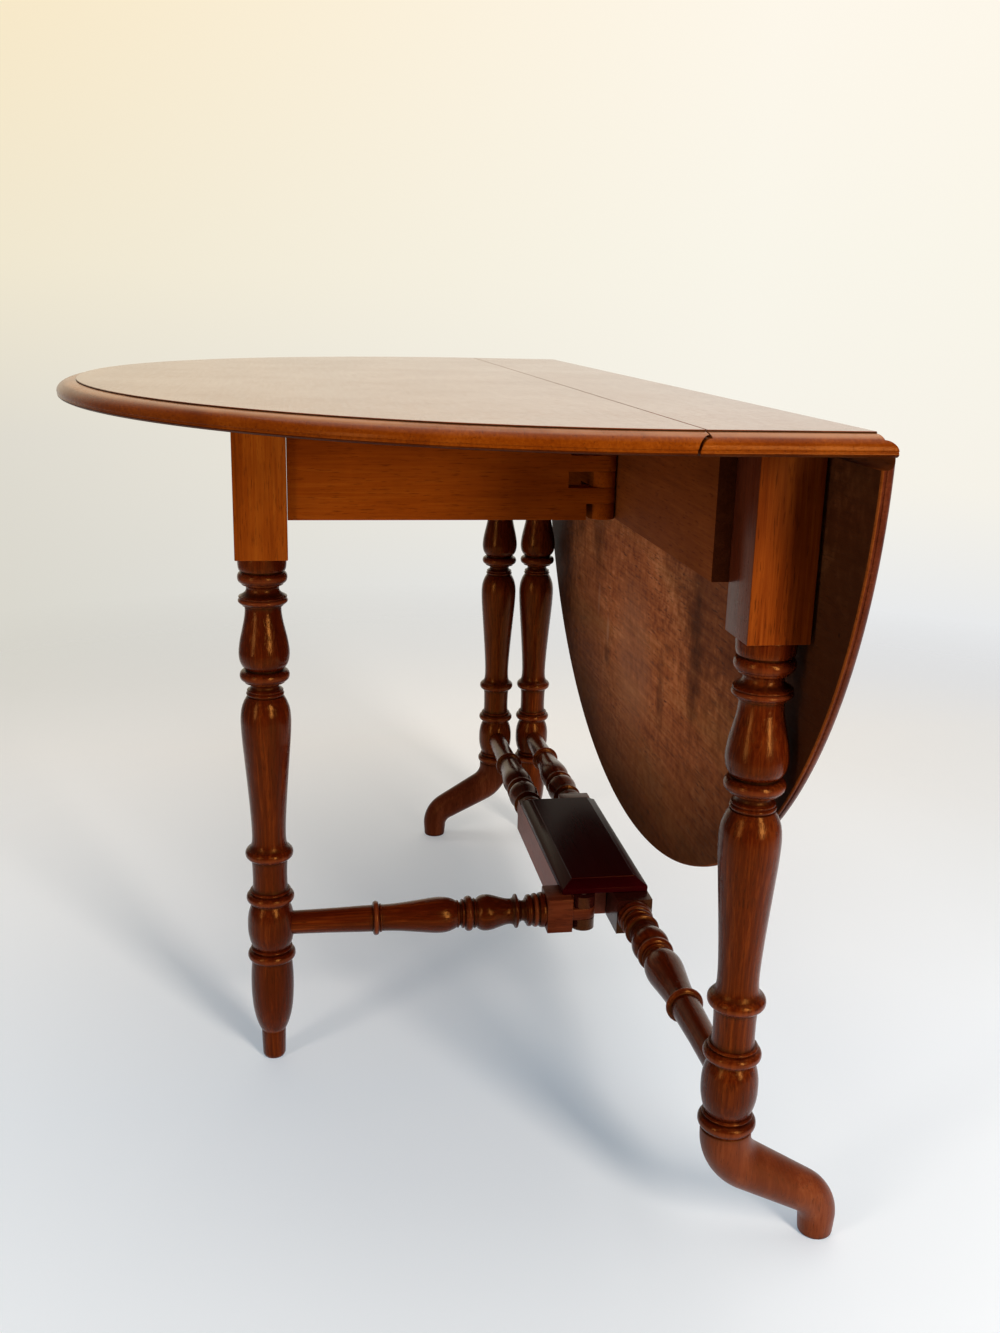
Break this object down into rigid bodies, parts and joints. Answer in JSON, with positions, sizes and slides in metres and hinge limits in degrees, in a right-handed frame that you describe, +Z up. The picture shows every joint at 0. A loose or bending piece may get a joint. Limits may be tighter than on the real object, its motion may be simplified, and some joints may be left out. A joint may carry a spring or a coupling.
{
  "type": "sutherland table",
  "caption": "Narrow drop-leaf table with half-oval leaves on rule joints, turned legs, scrolled feet and swinging gates on wooden knuckle joints; one leaf up, one hanging.",
  "frame": {"origin": "on the floor, under the middle of the narrow centre top", "axes": "+Z up, +Y along the narrow top, -X towards the raised leaf, +X towards the hanging leaf"},
  "size_m": [0.693, 1.14, 0.72],
  "materials": {
    "top_wood": "french polished",
    "leg_wood": "glossy varnish",
    "rail_wood": "satin varnish",
    "core_wood": "bare secondary wood",
    "lid_wood": "dark glossy varnish",
    "iron": "dull wrought iron",
    "brass": "tarnished brass"
  },
  "bodies": {
    "fixed_frame": {"centre_top": "top_wood", "core_rail": "core_wood", "left_fixed_rail": "rail_wood", "right_fixed_rail": "rail_wood", "front_leg": "leg_wood", "back_leg": "leg_wood", "front_foot": "leg_wood", "back_foot": "leg_wood", "front_stretcher": "leg_wood", "back_stretcher": "leg_wood", "hub_spacer": "rail_wood", "hub_lid": "lid_wood", "left_knuckle_pin": "iron", "right_knuckle_pin": "iron", "left_stretcher_pin": "iron", "right_stretcher_pin": "iron", "top_screw_1": "iron", "top_screw_2": "iron", "top_screw_3": "iron", "top_screw_4": "iron", "left_hinge_top_plate_1": "brass", "left_hinge_top_plate_2": "brass", "left_hinge_top_plate_3": "brass", "right_hinge_top_plate_1": "brass", "right_hinge_top_plate_2": "brass", "right_hinge_top_plate_3": "brass", "left_hinge_pin_1": "brass", "left_hinge_pin_2": "brass", "left_hinge_pin_3": "brass", "right_hinge_pin_1": "brass", "right_hinge_pin_2": "brass", "right_hinge_pin_3": "brass"},
    "left_gate": {"left_gate_leg": "leg_wood", "left_fly_rail": "rail_wood", "left_gate_stretcher": "leg_wood"},
    "right_gate": {"right_gate_leg": "leg_wood", "right_fly_rail": "rail_wood", "right_gate_stretcher": "leg_wood"},
    "left_drop_leaf": {"left_leaf": "top_wood", "left_hinge_leaf_plate_1": "brass", "left_hinge_leaf_plate_2": "brass", "left_hinge_leaf_plate_3": "brass"},
    "right_drop_leaf": {"right_leaf": "top_wood", "right_hinge_leaf_plate_1": "brass", "right_hinge_leaf_plate_2": "brass", "right_hinge_leaf_plate_3": "brass"}
  },
  "joints": [
    {"name": "left_gate_swing", "type": "hinge", "parent": "fixed_frame", "child": "left_gate", "pos_m": [-0.024, -0.1266, 0.4], "axis": [0, 0, 1], "range_deg": [0, 90]},
    {"name": "right_gate_swing", "type": "hinge", "parent": "fixed_frame", "child": "right_gate", "pos_m": [0.024, 0.1266, 0.4], "axis": [0, 0, -1], "range_deg": [0, 0.5]},
    {"name": "left_leaf_lift", "type": "hinge", "parent": "fixed_frame", "child": "left_drop_leaf", "pos_m": [-0.06, 0, 0.7065], "axis": [0, 1, 0], "range_deg": [0, 1.5]},
    {"name": "right_leaf_drop", "type": "hinge", "parent": "fixed_frame", "child": "right_drop_leaf", "pos_m": [0.06, 0, 0.7065], "axis": [0, -1, 0], "range_deg": [0, 90]}
  ]
}
